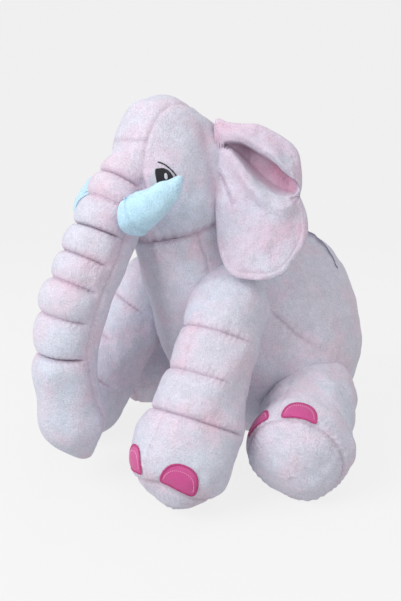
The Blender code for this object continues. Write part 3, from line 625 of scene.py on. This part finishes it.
def headRelief(s, phi, points):
    tube = headSkin
    away, radius = around(phi), tube.radius(s)
    length = s * 0.034
    gusset = np.minimum(head["gusset"] / radius, math.radians(78.0))
    shown = ease(s, 1.0, 1.5) * (1.0 - ease(s, 4.35, 4.6))
    fromGusset = np.abs(away - gusset) * radius
    fromBrow = np.abs(s - head["browSeam"]) * tube.step(s)
    brow = 1.0 - ease(away - gusset, -0.05, 0.05)
    height = softNoise(points, 0.07, 15) * head["lumps"] + softNoise(points, 0.028, 16) * 0.0004
    height += seamDip(fromGusset, length, 0.010, 0.0013, 0.0005, 0.009, 5) * shown
    height += seamDip(fromBrow, away * radius, 0.009, 0.0012, 0.0005, 0.008, 6) * brow
    neckPinch = hump(s * 0.034, 0.006)
    height = height - 0.002 * neckPinch + 0.0010 * np.sin(phi * 31.0) * hump(s * 0.034, 0.016)
    earRoot = hump((away - math.radians(97.0)) * radius, 0.010)
    earRoot = earRoot * ease(s, 0.3, 0.8) * (1.0 - ease(s, 3.2, 3.8))
    height -= 0.004 * earRoot
    cheek = hump((away - math.radians(62.0)) * radius, 0.035) * hump((s - 0.75) * 0.034, 0.026)
    height += 0.0025 * cheek
    # painted shade in the gusset and brow seams, the neck pinch and the ear root
    creaseShade = 0.6 * hump(fromGusset, 0.0022) * shown + 0.7 * hump(fromBrow, 0.0020) * brow
    creaseShade = creaseShade + neckPinch + 0.35 * earRoot
    # pink near the seams, neck pinch and ear root is painted warm shade; a pink patch sits on the cheek below
    # the eye
    tintAndShade = 0.55 * hump(fromGusset, 0.013) * shown + 0.4 * hump(fromBrow, 0.010) * brow + 0.3 * neckPinch
    tintAndShade += 0.55 * hump((away - math.radians(40.0)) * radius, 0.020) * hump((s - 1.5) * 0.034, 0.022)
    return height, np.clip(creaseShade, 0, 1), np.clip(tintAndShade + 0.45 * earRoot, 0, 1)


headSkin = headTube()
headPiece = skinPiece("head_skin", headSkin, headRelief, 0.0, headSkin.last, head["spacing"], lilacPlush)
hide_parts("head_panel_left", "head_panel_right", "crown_gusset", "chin_panel", "head_stuffing")
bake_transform(headPiece)
print("head made")


# trunk: rolls between tucks on the top, a smooth gusset below, cut into three at two tucks

def trunkRelief(s, phi, points):
    tube = trunkSkin
    away, radius = around(phi), tube.radius(s)
    step = tube.step(s)
    s = s - trunk["lead"]
    seam = np.radians(np.interp(s, (0.0, 1.2, 5.2, 6.0, 7.6, 8.4), (86.0, 81.0, 79.0, 62.0, 52.0, 60.0)))
    onTop = ease(away - seam, 0.02, 0.42)
    roll = tuckProfile(s, trunk["tucks"])
    fromTuck = nearest(s, trunk["tucks"]) * step
    rolls = (trunk["rise"] * roll - trunk["dip"] * (1.0 - roll)) * onTop
    fade = (1.0 - ease(s, 8.2, 8.9)) * ease(s, 0.2, 0.8)
    fromSeam = np.abs(away - seam) * radius
    length = s * 0.04
    rolls = rolls * ease(s, -0.9, 0.0)
    height = rolls + softNoise(points, 0.05, 25) * 0.0010
    height += seamDip(fromSeam, length, 0.010, 0.0018, 0.0006, 0.009, 7) * fade
    ripple = np.sin(away * radius / 0.0068 * math.tau + 3.0 * np.sin(s * 9.0))
    height += 0.0006 * ripple * hump(fromTuck, 0.009) * onTop
    # painted shade in the tucks and along the gusset seam
    creaseShade = 0.95 * hump(fromTuck, 0.0024) * onTop + 0.55 * hump(fromSeam, 0.0022) * fade
    # pink near the tucks and the gusset seam is painted warm shade; more pink beside the tusk
    tintAndShade = 0.55 * hump(fromTuck, 0.008) * ease(softNoise(points, 0.06, 26), -0.6, 0.5) * onTop
    besideTusk = hump((away - math.radians(120.0)) * radius, 0.028) * (1.0 - ease(s, 0.6, 2.4))
    tintAndShade = tintAndShade + 0.45 * hump(fromSeam, 0.012) + 0.6 * besideTusk
    return height, np.clip(creaseShade, 0, 1), np.clip(tintAndShade, 0, 1)


trunkSkin = trunkTube()
lead = trunk["lead"]
trunkCuts = (0.0, lead + trunk["tucks"][2], lead + trunk["tucks"][6], trunkSkin.last)
trunkBends = ((-0.3, 1.45, "head", "trunk_base"), (2.5, 4.5, "trunk_base", "trunk_middle"),
              (5.5, 7.4, "trunk_middle", "trunk_tip"))
for number, (low, high, upper, lower) in enumerate(trunkBends):
    top, bottom = trunkCuts[number], trunkCuts[number + 1]
    piece = skinPiece(
        lower + "_skin", trunkSkin, trunkRelief, top, bottom, trunk["spacing"], lilacPlush)
    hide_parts(lower + "_ribbed_panel", lower + "_under_gusset", lower + "_stuffing")
    start, end = trunkSkin.section(lead + low)[:3], trunkSkin.section(lead + high)[:3]
    tuple(start)
    tuple(end)
    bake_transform(piece)
print("trunk made")


# legs

legs = {
    "frontTucks": (2.97, 3.97, 5.02), "rise": 0.0030, "dip": 0.0056, "centre": 165.0,
    "frontSole": 7.08, "hindSole": 6.66, "lumps": 0.0016, "spacing": 0.0026,
}


def legRelief(tube, hand, isFront, seed, isSewn=True):
    def relief(s, phi, points):
        away, radius, step = around(phi), tube.radius(s), tube.step(s)
        sole = legs["frontSole"] if isFront else legs["hindSole"]
        fromSole = np.abs(s - sole) * step
        seamAngle = math.radians(170.0 if isFront else 192.0) * hand
        fromFront = around(phi - seamAngle) * radius
        fromBackSeam = around(phi - seamAngle - math.pi) * radius
        shown = ease(s, 1.2, 1.6) * (1.0 - ease(s, sole - 0.12, sole))
        length = s * 0.04
        height = softNoise(points, 0.06, seed) * legs["lumps"]
        if not isSewn:
            return height + legs["rise"] * isFront, np.zeros_like(height), np.zeros_like(height)
        height += softNoise(points, 0.022, seed + 1) * 0.0004
        height += seamDip(fromSole, phi * radius, 0.014, 0.0024, 0.0009, 0.0095, seed)
        height += seamDip(fromFront, length, 0.010, 0.0012, 0.0005, 0.009, seed) * shown
        height += seamDip(fromBackSeam, length, 0.010, 0.0012, 0.0005, 0.009, seed) * shown
        upAndDown = hump(fromFront, 0.002) + hump(fromBackSeam, 0.002)
        # painted shade in the sole seam and the leg seams, and in the tucks of the front legs
        creaseShade = 0.8 * hump(fromSole, 0.0024) + 0.45 * upAndDown * shown
        # pink near the sole seam and, on front legs, the tucks: painted warm shade
        tintAndShade = 0.5 * hump(fromSole, 0.012)
        if isFront:
            fromCentre = around(phi - math.radians(legs["centre"]) * hand)
            reach = np.interp(s, (2.97, 3.97, 5.02), (1.35, 1.05, 1.75))
            facing = 1.0 - ease(fromCentre, reach * 0.75, reach * 1.25)
            roll = tuckProfile(s, legs["frontTucks"])
            fromTuck = nearest(s, legs["frontTucks"]) * step
            height += (legs["rise"] * roll - legs["dip"] * (1.0 - roll)) * facing
            ripple = np.sin(fromCentre * radius / 0.0075 * math.tau + 2.5 * np.sin(s * 8.0 + seed))
            height += 0.0006 * ripple * hump(fromTuck, 0.010) * facing
            creaseShade += 0.9 * hump(fromTuck, 0.0024) * facing
            tintAndShade += 0.6 * hump(fromTuck, 0.011) * facing
        return height, np.clip(creaseShade, 0, 1), np.clip(tintAndShade, 0, 1)
    return relief


nails = {
    "width": 0.041, "height": 0.023, "lift": 0.0007, "rimLift": 0.0009, "crown": 0.0012, "inset": 0.84,
    "front": ((129.0, 6.92), (197.0, 6.80)), "hind": ((168.0, 6.56), (223.0, 6.50)),
    "Spacing": 0.00085, "Length": 0.0030, "Thickness": 0.0011, "Wobble": 0.12,
}


nailStitch = {"Spacing": 0.0024, "Length": 0.0009, "Thickness": 0.0015, "Wobble": 0.15}


def nailOutline():
    half, high = nails["width"] / 2.0, nails["height"]
    corners = [(-half, 0.0), (-half * 0.5, -0.0006), (0.0, -0.0008), (half * 0.5, -0.0006), (half, 0.0),
               (half * 0.93, high * 0.42), (half * 0.68, high * 0.78), (half * 0.34, high * 0.96),
               (0.0, high),
               (-half * 0.34, high * 0.96), (-half * 0.68, high * 0.78), (-half * 0.93, high * 0.42)]
    return smoothLoop(corners, 72)


def nailSpot(tube, relief, hand, degrees, base):
    # x runs round the leg, y up it from the flat edge
    radius, step = float(tube.radius(base)), float(tube.step(base))
    def spot(x, y, lift):
        s = base - y / step
        phi = math.radians(degrees) * hand + x / radius
        return onSkin(tube, relief, s, phi, lift)[0]
    return spot


for side, hand in sides.items():
    for end in ("front", "hind"):
        isFront = end == "front"
        name = f"{end}_leg_{side}"
        root = shape["shoulder" if isFront else "hip"] * np.array([hand, 1.0, 1.0])
        foot = shape[end + "Foot"][side]
        tube = legTube(root, foot, *shape[end + "Radii"])
        seed = 31 + 4 * len(name) + int(hand)
        relief = legRelief(tube, hand, isFront, seed)
        piece = skinPiece(name + "_skin", tube, relief, 0.0, tube.last, legs["spacing"], lilacPlush)
        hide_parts(*[name + part for part in ("_outer_panel", "_inner_panel", "_sole", "_stuffing")])
        reach = (0.0, 0.110) if isFront else (0.0, 0.070)
        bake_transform(piece)
        smooth = legRelief(tube, hand, isFront, seed, False)
        for number, (degrees, base) in enumerate(nails[end]):
            spot = nailSpot(tube, smooth, hand, degrees, base)
            label = f"{name}_nail_{number + 1}"
            nail = patchPiece(label + "_satin", nailOutline(), spot, nails["lift"], nails["crown"], nailSatin)
            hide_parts(label)
            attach(nail, name)
            outline = nailOutline()
            rim = sewThreads(label + "_rim", outline, spot, nails["rimLift"], True, rimThread, nails)
            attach(rim, name)
            inner = outline * np.array([1.0, nails["inset"]]) * nails["inset"] + np.array([0.0, 0.0012])
            arc = inner[[k for k in range(len(inner)) if inner[k, 1] > nails["height"] * 0.16]]
            gaps = np.linalg.norm(np.roll(arc, -1, axis=0) - arc, axis=1)
            arc = np.roll(arc, -int(np.argmax(gaps)) - 1, axis=0)  # starts past its open side
            over = nails["lift"] + nails["crown"] * 0.42
            dashes = sewThreads(label + "_stitches", arc, spot, over, False, stitchThread, nailStitch)
            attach(dashes, name)
print("legs made")


# tusks

tusk = {"seam": 1.15, "spacing": 0.0018}


def tuskTube(hand):
    root = np.array([0.050 * hand, -0.166, 0.364])
    outline = [(0.00, 0.02, 0.00, 0.98), (0.10, -0.02, 0.02, 1.10), (0.25, -0.12, 0.13, 0.94),
               (0.37, -0.22, 0.25, 0.72),
               (0.46, -0.32, 0.35, 0.52), (0.51, -0.42, 0.49, 0.00)]
    stations = []
    for out, forward, up, swell in outline:
        centre = root + np.array([out * hand, -forward, up]) * shape["tuskLength"]
        stations.append((centre, swell * shape["tuskRadius"], swell * shape["tuskRadius"]))
    return SoftTube(stations, side=yAxis, roundEnd=True)


def tuskRelief(s, phi, points):
    fromSeam = around(phi - math.radians(200.0)) * 0.020
    groove = seamDip(fromSeam, s * 0.02, 0.007, 0.0009, 0.0004, 0.007, 8) * (1.0 - ease(s, 3.4, 3.8))
    height = softNoise(points, 0.03, 41) * 0.0007 + groove
    fold = hump((s - tusk["seam"]) * 0.03, 0.0028)
    height -= 0.0022 * fold
    # the second value is painted shade in the seam groove and the fold
    return height, np.clip(0.5 * hump(fromSeam, 0.0016) + 0.6 * fold, 0, 1), 0.2 * fold


for side, hand in sides.items():
    tube = tuskTube(hand)
    piece = skinPiece(f"tusk_{side}", tube, tuskRelief, 0.0, tube.last, tusk["spacing"], tuskPlush)
    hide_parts(f"tusk_skin_{side}", f"tusk_stuffing_{side}")
    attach(piece, "head")
print("tusks made")


# eyes: embroidered white, iris, glint and lid

eye = {
    "height": 1.93, "angle": 45.0,  # where the straight edge of the iris stands on the head
    "iris": ((0.0, -12.0), (0.0, -2.0), (0.0, 7.6), (4.0, 9.0), (10.0, 8.8), (15.0, 6.2), (18.5, 1.4),
             (20.0, -4.0), (18.0, -9.0), (10.0, -12.6)),
    "white": ((2.0, 10.0), (-2.0, 8.0), (-6.0, 3.0), (-9.0, -3.0), (-8.5, -10.0), (-4.0, -14.5),
              (3.0, -15.0), (12.0, -14.0), (14.0, 0.0)),
    "glint": ((9.6, 0.6), (9.9, 3.2), (11.3, 4.3), (12.7, 3.2), (12.9, 0.6), (11.3, -0.6)),
    "lid": ((4.0, 14.6), (8.0, 13.6), (12.0, 11.6), (16.0, 8.6), (19.5, 5.0), (22.0, 1.4), (23.4, -1.6)),
    "Spacing": 0.0006, "Length": 0.0018, "Thickness": 0.0011, "Wobble": 0.2,
}

for side, hand in sides.items():
    radius, step = float(headSkin.radius(eye["height"])), float(headSkin.step(eye["height"]))
    def eyeSpot(x, y, lift):
        s = eye["height"] + y / step
        phi = (math.radians(eye["angle"]) + x / radius) * hand
        return onSkin(headSkin, headRelief, s, phi, lift)[0]
    layers = (("white", 0.0003, eyeWhite, "glint_thread"), ("iris", 0.0010, eyeBlack, "eye_thread"),
              ("glint", 0.0019, eyeWhite, "glint_thread"))
    for label, lift, finish, slot in layers:
        outline = smoothLoop(np.array(eye[label]) / 1000.0, 64)
        piece = patchPiece(f"eye_{label}_{side}_thread", outline, eyeSpot, lift, 0.0006, finish)
        if label != "white":
            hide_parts(f"eye_{label}_{side}")
        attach(piece, "head")
    arc = np.array(eye["lid"]) / 1000.0
    fine = np.linspace(0.0, len(arc) - 1.0, 40)
    arc = np.stack([np.interp(fine, range(len(arc)), arc[:, k]) for k in (0, 1)], axis=1)
    lid = sewThreads(f"eye_lid_{side}", arc, eyeSpot, 0.0006, False, lidThread, eye)
    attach(lid, "head")
print("eyes made")


# ears: a padded leaf folded along a deep valley, the top rolled forward as a hood

ear = {
    "root": (0.062, -0.036, 0.474), "turn": 40.0, "flare": 0.062, "height": 0.196, "reach": 0.118,
    "thick": 0.0085, "valley": 0.036, "hood": 0.012, "lip": 0.011, "middle": (0.056, 0.096),
    "outline": ((-0.8, -0.6), (1.1, -0.3), (3.1, -0.1), (4.9, 0.0), (6.6, 0.7), (8.2, 1.6), (9.5, 2.6),
                (10.2, 3.7),
                (10.5, 5.0), (10.7, 6.3), (10.75, 7.7), (10.6, 8.7), (11.0, 9.6), (11.5, 10.8), (11.8, 12.2),
                (11.8, 13.6), (11.3, 15.1), (10.5, 16.5), (9.6, 17.7), (8.4, 18.4), (6.8, 18.7), (4.8, 18.7),
                (3.2, 18.5), (2.0, 17.6), (1.2, 16.4), (0.5, 14.6), (0.1, 12.4), (-0.3, 10.0), (-0.6, 7.0),
                (-0.8, 3.4)),
    "foldTop": ((0.3, 2.5), (1.3, 2.1), (3.0, 2.2), (4.1, 2.7), (5.2, 3.3), (6.7, 4.1), (7.7, 4.8),
                (8.6, 5.8), (10.0, 6.8), (10.7, 8.0)),
    "foldBottom": ((0.3, 2.6), (1.7, 3.2), (2.8, 4.3), (4.3, 6.0), (5.5, 7.1), (6.9, 8.1), (7.9, 8.6),
                   (8.9, 8.8), (9.8, 8.7), (10.7, 8.3)),
}


def earHeights(a, b, edge, isFront):  # how far the leaf stands out of its plane at a outwards and b down
    bow = np.sin(math.pi * np.clip(a / ear["reach"], 0.0, 1.0))
    rise = ear["flare"] * np.clip(b / ear["height"], 0.0, 1.1) ** 1.6 + 0.012 * bow
    thick = ear["thick"] * np.sqrt(1.0 - np.exp(-edge / 0.009))
    top, bottom = (np.interp(a, *np.transpose(ear[line]) / 100.0) for line in ("foldTop", "foldBottom"))
    wide = np.maximum(bottom - top, 0.0015)
    opening = np.clip(wide / 0.028, 0.0, 1.0) ** 0.8 * ease(edge, 0.0, 0.012)
    t = (b - top) / wide
    inside = ease(t, 0.0, 0.20) * (1.0 - ease(t, 0.80, 1.0))
    front = rise + thick - ear["valley"] * opening * inside
    front = front + ear["hood"] * opening * hump(b - top + 0.008, 0.009) * (1.0 - inside)
    front = front + ear["lip"] * opening * hump(b - bottom - 0.011, 0.013) * (1.0 - inside)
    away = np.hypot(np.clip(a, 0.004, 0.024) - a, b - (0.063 + (np.clip(a, 0.004, 0.024) - 0.004) * 1.7))
    pleat = hump(away, 0.0042) * ease(edge, 0.0, 0.006)
    front = front - 0.0050 * pleat
    hem = hump(edge - 0.0085, 0.0018)
    front = front - 0.0009 * hem
    notch = np.hypot(a - 0.106, b - 0.086)
    turn = np.arctan2(b - 0.086, a - 0.106)
    gather = np.sin(turn * 9.0) * hump(notch, 0.014)
    front = front + 0.0014 * gather
    back = rise - thick - ear["valley"] * 0.75 * opening * ease(t, -0.5, 0.4) * (1.0 - ease(t, 0.6, 1.5))
    back = np.minimum(back, front - 0.008 * ease(edge, 0.0, 0.008))
    # painted shade in the hem, the hollow of the fold, the pleat and the gathers
    creaseShade = 0.25 * hem + 0.45 * inside * opening + 0.5 * pleat + 0.35 * np.abs(gather)
    # strong pink in the hollow of the fold and near the hem: painted warm shade
    tintAndShade = 0.20 * hump(edge - 0.0085, 0.006) + 1.00 * inside * opening + 0.3 * pleat
    return (front if isFront else back), creaseShade * isFront, tintAndShade * isFront


for side, hand in sides.items():
    turn = math.radians(ear["turn"])
    out = np.array([math.cos(turn) * hand, math.sin(turn), 0.0])
    face = np.array([math.sin(turn) * hand, -math.cos(turn), 0.0])
    root = np.array(ear["root"]) * np.array([hand, 1.0, 1.0])
    outline = smoothLoop(np.array(ear["outline"]) / 100.0, 220)
    middle = np.array(ear["middle"])
    shares = 1.0 - np.linspace(1.0, 0.0, 60) ** 1.35
    flat = middle + (outline - middle)[None] * shares[:, None, None]
    reach = np.linalg.norm(outline - middle, axis=1)
    edge = (1.0 - shares)[:, None] * reach[None, :]
    a, b = flat[..., 0], flat[..., 1]
    layers = []
    for isFront in (True, False):
        height, creaseShade, tintAndShade = earHeights(a, b, edge, isFront)
        place = root + out * a[..., None] - zAxis * b[..., None] + face * height[..., None]
        bump = softNoise(place, 0.035, 51) * 0.0012 + softNoise(place, 0.016, 52) * 0.0003
        place = place + face * (bump * ease(edge, 0.0, 0.01))[..., None]
        layers.append((place, creaseShade, tintAndShade))
    rows, count = a.shape
    points = np.vstack([layers[0][0].reshape(-1, 3), layers[1][0].reshape(-1, 3)])
    points[rows * count + (rows - 1) * count:] = points[(rows - 1) * count:rows * count]
    creaseShade = np.concatenate([layers[0][1].ravel(), layers[1][1].ravel()])
    tintAndShade = np.concatenate([layers[0][2].ravel(), layers[1][2].ravel()])
    faces = []
    for layer in (0, rows * count):
        for row in range(rows - 1):
            for k in range(count):
                n = (k + 1) % count
                p, q = layer + row * count, layer + (row + 1) * count
                faces.append((p + k, p + n, q + n, q + k) if layer else (p + k, q + k, q + n, p + n))
    piece = makeMesh(f"ear_{side}_padded", points, faces, shadedEarPlush, creaseShade, tintAndShade, 80.0)
    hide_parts(*[f"ear_{part}_{side}" for part in ("front_panel", "batting", "back_panel")])
    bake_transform(piece)
print("ears made")


# tail

tail = {"length": 0.090, "radius": 0.009, "tuft": 0.012}
tailRoot = np.array([0.0, neck[1] + shape["torsoLength"] + 0.006, 0.150])
stations = [(tailRoot + np.array([0.0, -0.12, 0.10]) * tail["length"], 0.0, 0.0)]
for back, up, swell in ((0.00, 0.00, 0.85), (0.09, -0.20, 1.00), (0.12, -0.55, 0.95), (0.11, -0.78, 0.80)):
    width = swell * tail["radius"]
    stations.append((tailRoot + np.array([0.0, back, up]) * tail["length"], width, width))
stations.append((tailRoot + np.array([0.0, 0.10, -0.86]) * tail["length"], 0.0, 0.0))
tailSkin = SoftTube(stations, roundStart=True, roundEnd=True)


def tailRelief(s, phi, points):
    fromSeam = around(phi) * tail["radius"]
    height = seamDip(fromSeam, s * 0.02, 0.004, 0.0006, 0.0003, 0.005, 9)
    # the second value is painted shade along the seam
    return height, 0.5 * hump(fromSeam, 0.0012), 0.4 * hump(fromSeam, 0.004)


tailPiece = skinPiece("tail_cord_skin", tailSkin, tailRelief, 0.0, tailSkin.last, 0.0012, lilacPlush)
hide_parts("tail_skin")
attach(tailPiece, "tail")
tuftMiddle = tailRoot + np.array([0.0, 0.10, -0.80]) * tail["length"] - zAxis * tail["tuft"] * 0.9
tuftTube = SoftTube([(tuftMiddle + zAxis * 0.012, 0.0, 0.0), (tuftMiddle + zAxis * 0.005, 0.0095, 0.0095),
                     (tuftMiddle - zAxis * 0.004, 0.0110, 0.0110), (tuftMiddle - zAxis * 0.014, 0.0, 0.0)],
                    roundStart=True, roundEnd=True)


def tuftRelief(s, phi, points):
    lock = np.sin(phi * 7.0 + 1.5 * np.sin(s * 2.0))
    height = 0.0009 * lock * ease(s, 0.2, 0.8) * (1.0 - ease(s, 2.6, 2.95))
    # the second value is painted shade between the locks
    return height, 0.4 * (lock < -0.6), 0.3 * np.ones_like(s)


tuftPiece = skinPiece("tail_tuft_skin", tuftTube, tuftRelief, 0.0, tuftTube.last, 0.0012, lilacPlush)
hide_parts("tail_tuft")
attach(tuftPiece, "tail")
print("tail made")


# studio

studio = {
    "paper": (0.10, 0.10, 0.10), "glow": 0.805, "bounce": 0.55, "sky": (1.0, 1.0, 1.0), "skyStrength": 0.52,
    "key": ((0.05, -1.9, 1.5), 1.3, 37.0), "fill": ((2.2, -0.4, 1.2), 1.8, 9.0),
    "top": ((0.3, 0.6, 2.4), 1.6, 8.0),
    "eye": (0.697, -0.532, 0.440), "turn": 53.9, "tilt": 13.9, "lens": 600.0 * 36.0 / 601.0,
}

bm = bmesh.new()
camTurn = math.radians(studio["turn"])
backWay = Vector((-math.sin(camTurn), math.cos(camTurn), 0.0))
acrossWay = Vector((math.cos(camTurn), math.sin(camTurn), 0.0))
profile = [(-4.0, 0.0), (2.2, 0.0)]
for k in range(1, 17):  # the paper's sweep from floor to wall
    sweep = k / 16 * math.pi / 2
    profile.append((2.2 + 2.0 * math.sin(sweep), 2.0 - 2.0 * math.cos(sweep)))
profile += [(4.2, 7.0)]
rows = []
for far, up in profile:
    middle = backWay * far + Vector((0.0, 0.0, up))
    rows.append([bm.verts.new(middle + acrossWay * across) for across in (-8.0, 8.0)])
for row, following in zip(rows, rows[1:]):
    bm.faces.new((row[0], row[1], following[1], following[0]))
floorMesh = bpy.data.meshes.new("studio_floor")
bm.to_mesh(floorMesh)
bm.free()
floorMesh.shade_smooth()
floorFinish = Finish("studio paper")
floorFinish.shader.inputs["Base Color"].default_value = (*studio["paper"], 1.0)
floorFinish.shader.inputs["Emission Color"].default_value = (1.0, 1.0, 1.0, 1.0)
seen = floorFinish.node("ShaderNodeLightPath").outputs["Is Camera Ray"]
glow = floorFinish.remap(seen, 0.0, 1.0, studio["bounce"], studio["glow"])
floorFinish.feed(floorFinish.shader.inputs["Emission Strength"], glow)
floorFinish.feed(floorFinish.shader.inputs["Roughness"], 0.9)
floorFinish.shader.inputs["Specular IOR Level"].default_value = 0.0
floorMesh.materials.append(floorFinish.material)
floor = bpy.data.objects.new("studio_floor", floorMesh)
bpy.context.scene.collection.objects.link(floor)

world = bpy.data.worlds.new("studio")
bpy.context.scene.world = world
world.use_nodes = True
world.node_tree.nodes["Background"].inputs["Color"].default_value = (*studio["sky"], 1.0)
world.node_tree.nodes["Background"].inputs["Strength"].default_value = studio["skyStrength"]
aim = Vector((0.0, -0.02, 0.22))
for name in ("key", "fill", "top"):
    place, size, power = studio[name]
    light = bpy.data.lights.new(name, "AREA")
    light.size = size
    light.energy = power
    lamp = bpy.data.objects.new(name, light)
    lamp.location = place
    lamp.rotation_euler = (Vector(place) - aim).to_track_quat("Z", "Y").to_euler()
    bpy.context.scene.collection.objects.link(lamp)

tilt = math.radians(studio["tilt"])
back = Vector((math.sin(camTurn) * math.cos(tilt), -math.cos(camTurn) * math.cos(tilt), math.sin(tilt)))
camera = bpy.data.cameras.new("camera")
camera.lens = studio["lens"]
camera.sensor_width = 36.0
viewer = bpy.data.objects.new("camera", camera)
turnMatrix = Matrix((acrossWay, back.cross(acrossWay), back)).transposed().to_4x4()
turnMatrix.translation = Vector(studio["eye"])
viewer.matrix_world = turnMatrix
bpy.context.scene.collection.objects.link(viewer)
bpy.context.scene.camera = viewer
bpy.context.scene.view_settings.view_transform = "Standard"
print("studio made")
